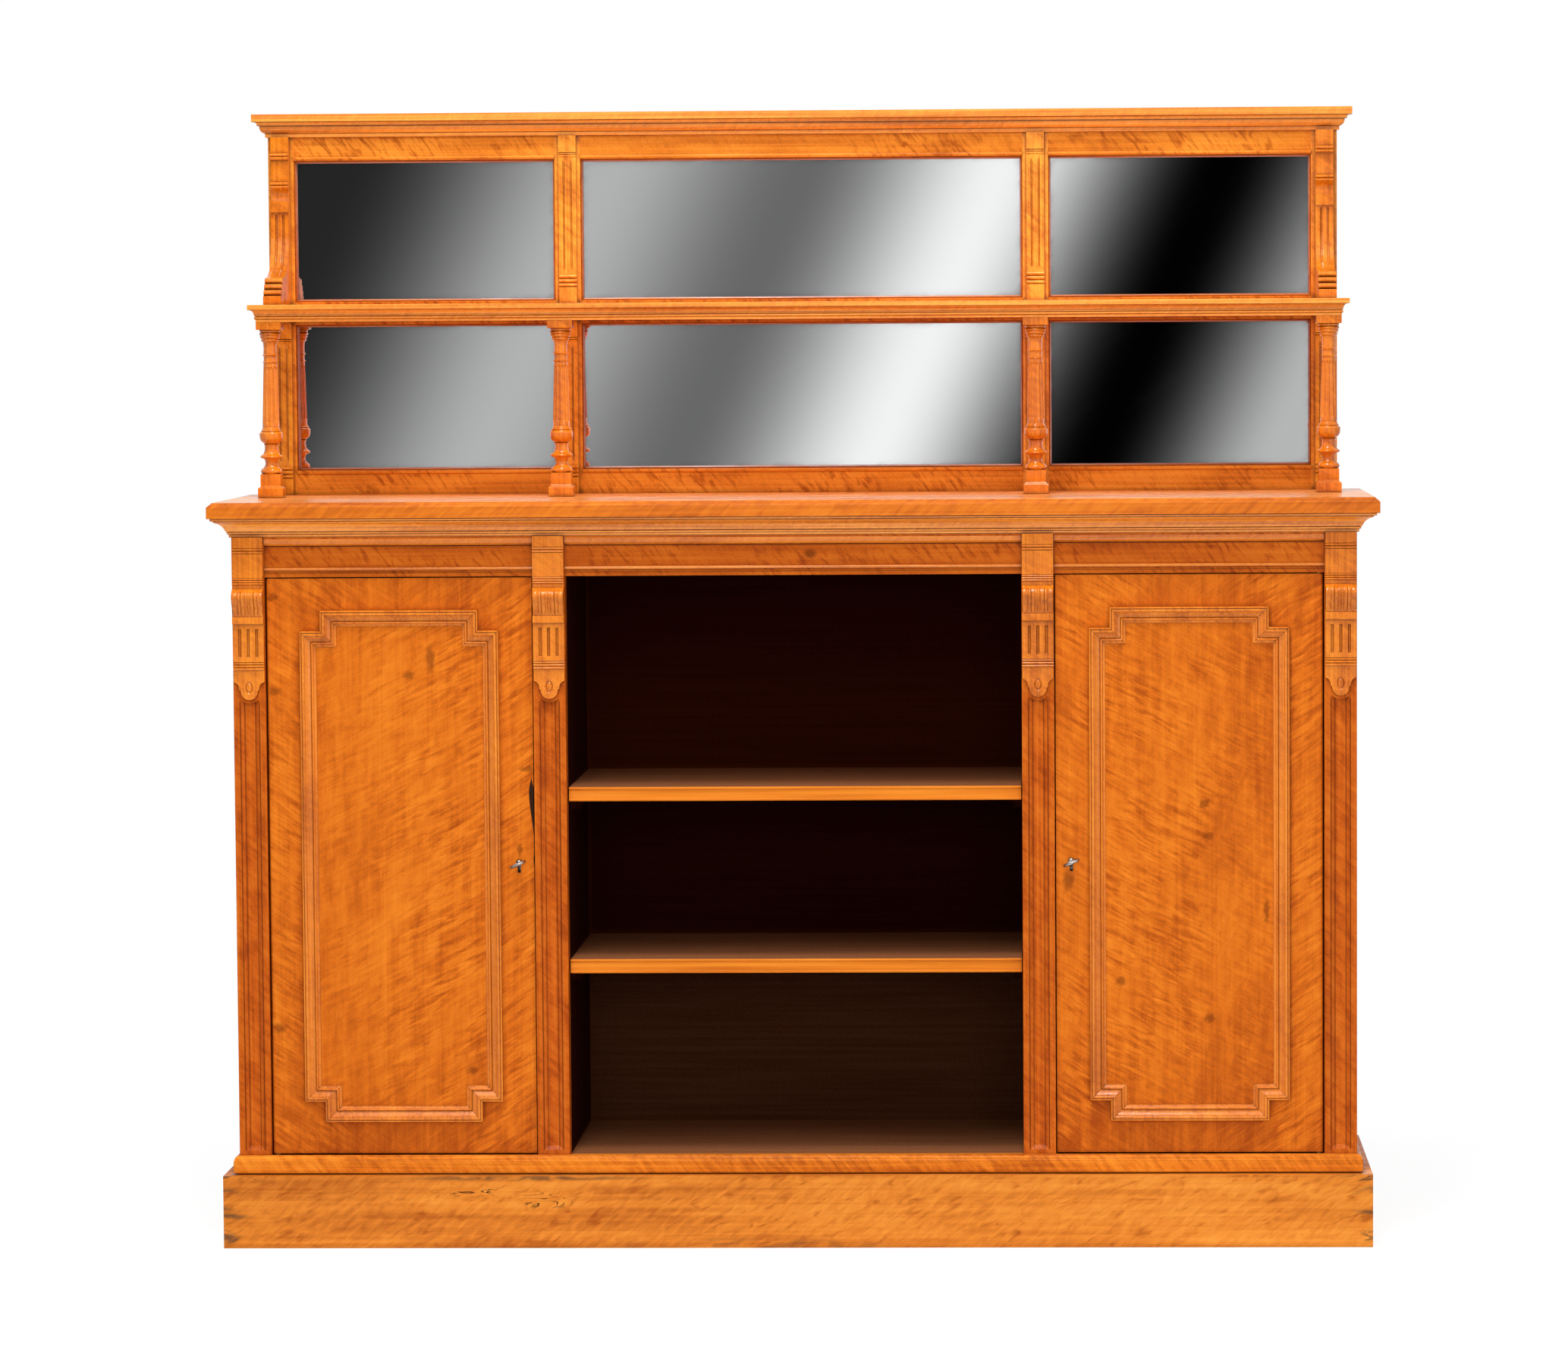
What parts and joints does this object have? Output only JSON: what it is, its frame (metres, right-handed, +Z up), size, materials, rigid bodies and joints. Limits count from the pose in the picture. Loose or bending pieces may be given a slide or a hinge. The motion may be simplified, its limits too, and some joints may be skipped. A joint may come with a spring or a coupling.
{
  "type": "raised-back sideboard",
  "caption": "Wooden sideboard with a mirrored raised back, a shelf on turned columns, an open bay with fixed shelves and lockable panelled cupboards at the ends.",
  "frame": {"origin": "on the floor under the middle of the overall box", "axes": "+X to the right as seen by a person facing the doors, +Y from the front to the back, +Z up"},
  "size_m": [1.533, 0.392, 1.503],
  "materials": {
    "polished_wood": "french polished, warm amber, rippled figure",
    "door_veneer": "french polished figured veneer",
    "inner_wood": "thin dull stain, dark brown",
    "back_wood": "bare softwood, dulled by age",
    "mirror_glass": "silvered plate, slightly aged",
    "brass": "dull old brass",
    "steel": "worn dark steel"
  },
  "bodies": {
    "carcass": {"base_board": "inner_wood", "base_moulding": "polished_wood", "carcass_back": "back_wood", "centre_frieze": "polished_wood", "counter_cornice": "polished_wood", "counter_top": "polished_wood", "gallery_backboard": "back_wood", "gallery_brackets": "polished_wood", "gallery_cornice": "polished_wood", "gallery_friezes": "polished_wood", "gallery_rails": "polished_wood", "gallery_shelf": "polished_wood", "gallery_stiles": "polished_wood", "hinge_sockets": "brass", "left_cupboard_shelf": "inner_wood", "left_frieze": "polished_wood", "left_inner_column": "polished_wood", "left_inner_corbel": "polished_wood", "left_inner_pilaster": "polished_wood", "left_outer_column": "polished_wood", "left_outer_corbel": "polished_wood", "left_outer_pilaster": "polished_wood", "left_partition": "inner_wood", "left_side_panel": "polished_wood", "lower_centre_shelf": "inner_wood", "lower_mirrors": "mirror_glass", "lower_pilasters": "polished_wood", "mirror_beads": "polished_wood", "plinth_back": "back_wood", "plinth_corner_blocks": "back_wood", "plinth_front": "polished_wood", "plinth_left_end": "polished_wood", "plinth_right_end": "polished_wood", "right_cupboard_shelf": "inner_wood", "right_frieze": "polished_wood", "right_inner_column": "polished_wood", "right_inner_corbel": "polished_wood", "right_inner_pilaster": "polished_wood", "right_outer_column": "polished_wood", "right_outer_corbel": "polished_wood", "right_outer_pilaster": "polished_wood", "right_partition": "inner_wood", "right_side_panel": "polished_wood", "shelf_bearers_and_stops": "inner_wood", "upper_centre_shelf": "inner_wood", "upper_mirrors": "mirror_glass", "upper_pilasters": "polished_wood"},
    "left_door": {"left_door_panel": "door_veneer", "left_door_moulding": "polished_wood", "left_lock_case": "steel", "left_hinge_pivots": "brass"},
    "left_key": {"left_key": "steel"},
    "left_bolt": {"left_lock_bolt": "steel"},
    "right_door": {"right_door_panel": "door_veneer", "right_door_moulding": "polished_wood", "right_lock_case": "steel", "right_hinge_pivots": "brass"},
    "right_key": {"right_key": "steel"},
    "right_bolt": {"right_lock_bolt": "steel"}
  },
  "joints": [
    {"name": "left_door_hinge", "type": "hinge", "parent": "carcass", "child": "left_door", "pos_m": [-0.6885, -0.156, 0.5], "axis": [0, 0, -1], "range_deg": [0, 90]},
    {"name": "left_key_turn", "type": "hinge", "parent": "left_door", "child": "left_key", "pos_m": [-0.3635, -0.161, 0.508], "axis": [0, 1, 0], "range_deg": [0, 180]},
    {"name": "left_bolt_slide", "type": "slide", "parent": "left_door", "child": "left_bolt", "axis": [1, 0, 0], "range_m": [0, 0.008]},
    {"name": "right_door_hinge", "type": "hinge", "parent": "carcass", "child": "right_door", "pos_m": [0.6885, -0.156, 0.5], "axis": [0, 0, 1], "range_deg": [0, 90]},
    {"name": "right_key_turn", "type": "hinge", "parent": "right_door", "child": "right_key", "pos_m": [0.3635, -0.161, 0.508], "axis": [0, -1, 0], "range_deg": [0, 180]},
    {"name": "right_bolt_slide", "type": "slide", "parent": "right_door", "child": "right_bolt", "axis": [-1, 0, 0], "range_m": [0, 0.008]}
  ],
  "couplings": [
    {"joint": "left_bolt_slide", "follows": "left_key_turn", "m_per_rad": 0.0025464},
    {"joint": "right_bolt_slide", "follows": "right_key_turn", "m_per_rad": 0.0025464}
  ]
}
